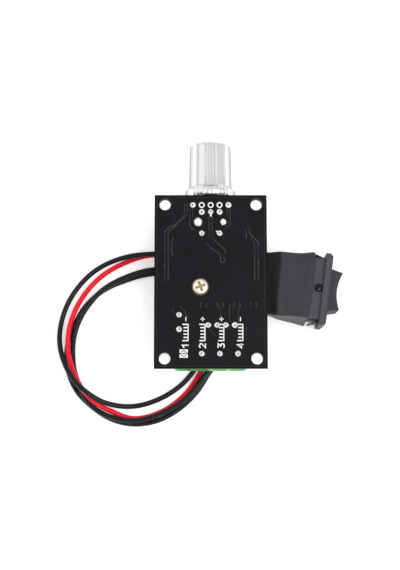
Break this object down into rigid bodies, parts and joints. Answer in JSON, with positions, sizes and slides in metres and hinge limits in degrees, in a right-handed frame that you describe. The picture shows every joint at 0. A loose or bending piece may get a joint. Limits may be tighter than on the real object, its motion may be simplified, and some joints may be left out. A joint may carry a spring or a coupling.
{
  "type": "dc motor speed controller",
  "caption": "Open-board DC motor speed controller with a fluted knob on a switched potentiometer, a screw terminal, a heat sink, and a booted rocker switch on loose leads.",
  "frame": {"origin": "centre of the board's four mounting holes, on the solder face", "axes": "+Z out of the solder face, +Y towards the knob, +X towards the rocker switch"},
  "size_m": [0.0828, 0.082, 0.0174],
  "materials": {
    "board_black": "black solder mask, soft sheen",
    "pad_tin": "tinned copper",
    "solder": "bright solder",
    "bracket_steel": "nickel-plated sheet steel",
    "moulding_black": "black moulding",
    "phenolic_brown": "brown laminate",
    "pin_tin": "tinned brass",
    "bushing_nickel": "nickel-plated",
    "shaft_aluminium": "turned",
    "rotor_cream": "natural acetal",
    "contact_bronze": "spring bronze",
    "knob_chrome": "chrome-plated",
    "insert_black": "black moulding",
    "terminal_green": "green nylon",
    "screw_zinc": "zinc-plated steel",
    "cage_nickel": "nickel-plated brass",
    "sink_black": "black anodised aluminium",
    "screw_yellow_zinc": "pale yellow zinc plating",
    "thermal_grey": "soft grey pad",
    "package_black": "moulded epoxy",
    "nylon_white": "natural nylon",
    "sleeve_dark": "shrunk sleeve",
    "bung_rubber": "matt rubber",
    "ceramic_tan": "ceramic",
    "switch_black": "black nylon, fine grain",
    "rocker_black": "black nylon, smooth",
    "blade_copper": "copper",
    "lead_slate": "black insulation, soft sheen",
    "lead_red": "red insulation, soft sheen",
    "boot_black": "soft black vinyl, matt"
  },
  "bodies": {
    "board": {"circuit_board": "board_black", "plated_pads": "pad_tin", "solder_joints": "solder", "pot_bracket": "bracket_steel", "pot_housing": "moulding_black", "pot_track": "phenolic_brown", "pot_pins": "pin_tin", "pot_bushing": "bushing_nickel", "pot_switch_case": "moulding_black", "pot_switch_contacts": "contact_bronze", "terminal_housing": "terminal_green", "terminal_contacts": "pin_tin", "heat_sink": "sink_black", "heat_sink_screw": "screw_yellow_zinc", "thermal_pads": "thermal_grey", "power_transistor": "package_black", "transistor_tabs": "pin_tin", "flyback_diode": "package_black", "diode_tabs": "pin_tin", "header_shell": "nylon_white", "header_pins": "pin_tin", "plug_housing": "nylon_white", "plug_contacts": "pin_tin", "capacitor_can": "sleeve_dark", "capacitor_bung": "bung_rubber", "capacitor_leads": "pin_tin", "timer_chip": "package_black", "timer_chip_legs": "pin_tin", "chip_resistors": "package_black", "chip_capacitors": "ceramic_tan", "small_diodes": "package_black", "switch_housing": "switch_black", "switch_base": "switch_black", "switch_terminals": "pin_tin", "cross_links": "blade_copper", "lead_tails": "lead_slate", "switch_boot": "boot_black", "wire_red": "lead_red", "wire_black_1": "lead_slate", "wire_black_2": "lead_slate", "wire_black_3": "lead_slate"},
    "knob": {"knob": "knob_chrome", "knob_insert": "insert_black", "pot_shaft": "shaft_aluminium", "pot_rotor": "rotor_cream", "pot_switch_cam": "rotor_cream"},
    "rocker": {"rocker": "rocker_black", "switch_plungers": "rotor_cream", "plunger_springs": "screw_zinc"},
    "contact_blades": {"contact_blades": "blade_copper"},
    "clamp_screw_1": {"clamp_screw_1": "screw_zinc"},
    "clamp_cage_1": {"clamp_cage_1": "cage_nickel"},
    "clamp_screw_2": {"clamp_screw_2": "screw_zinc"},
    "clamp_cage_2": {"clamp_cage_2": "cage_nickel"},
    "clamp_screw_3": {"clamp_screw_3": "screw_zinc"},
    "clamp_cage_3": {"clamp_cage_3": "cage_nickel"},
    "clamp_screw_4": {"clamp_screw_4": "screw_zinc"},
    "clamp_cage_4": {"clamp_cage_4": "cage_nickel"}
  },
  "joints": [
    {"name": "knob_turn", "type": "hinge", "parent": "board", "child": "knob", "pos_m": [0, 0.03, -0.0086], "axis": [0, 1, 0], "range_deg": [-150, 150]},
    {"name": "rocker_tilt", "type": "hinge", "parent": "board", "child": "rocker", "pos_m": [0.03066, -0.00173, -0.00835], "axis": [0, 0, 1], "range_deg": [-12, 12]},
    {"name": "blade_tilt", "type": "hinge", "parent": "board", "child": "contact_blades", "pos_m": [0.0255, -0.00106, -0.00835], "axis": [0, 0, 1], "range_deg": [-7.2, 7.2]},
    {"name": "clamp_screw_1_turn", "type": "hinge", "parent": "board", "child": "clamp_screw_1", "pos_m": [-0.00762, -0.02075, -0.009], "axis": [0, 0, 1], "range_deg": [0, 1440]},
    {"name": "clamp_cage_1_lift", "type": "slide", "parent": "board", "child": "clamp_cage_1", "axis": [0, 0, -1], "range_m": [0, 0.002]},
    {"name": "clamp_screw_2_turn", "type": "hinge", "parent": "board", "child": "clamp_screw_2", "pos_m": [-0.00254, -0.02075, -0.009], "axis": [0, 0, 1], "range_deg": [0, 1440]},
    {"name": "clamp_cage_2_lift", "type": "slide", "parent": "board", "child": "clamp_cage_2", "axis": [0, 0, -1], "range_m": [0, 0.002]},
    {"name": "clamp_screw_3_turn", "type": "hinge", "parent": "board", "child": "clamp_screw_3", "pos_m": [0.00254, -0.02075, -0.009], "axis": [0, 0, 1], "range_deg": [0, 1440]},
    {"name": "clamp_cage_3_lift", "type": "slide", "parent": "board", "child": "clamp_cage_3", "axis": [0, 0, -1], "range_m": [0, 0.002]},
    {"name": "clamp_screw_4_turn", "type": "hinge", "parent": "board", "child": "clamp_screw_4", "pos_m": [0.00762, -0.02075, -0.009], "axis": [0, 0, 1], "range_deg": [0, 1440]},
    {"name": "clamp_cage_4_lift", "type": "slide", "parent": "board", "child": "clamp_cage_4", "axis": [0, 0, -1], "range_m": [0, 0.002]}
  ],
  "couplings": [
    {"joint": "blade_tilt", "follows": "rocker_tilt", "ratio": -0.6},
    {"joint": "clamp_screw_1_turn", "follows": "clamp_cage_1_lift", "rad_per_m": 12566},
    {"joint": "clamp_screw_2_turn", "follows": "clamp_cage_2_lift", "rad_per_m": 12566},
    {"joint": "clamp_screw_3_turn", "follows": "clamp_cage_3_lift", "rad_per_m": 12566},
    {"joint": "clamp_screw_4_turn", "follows": "clamp_cage_4_lift", "rad_per_m": 12566}
  ]
}
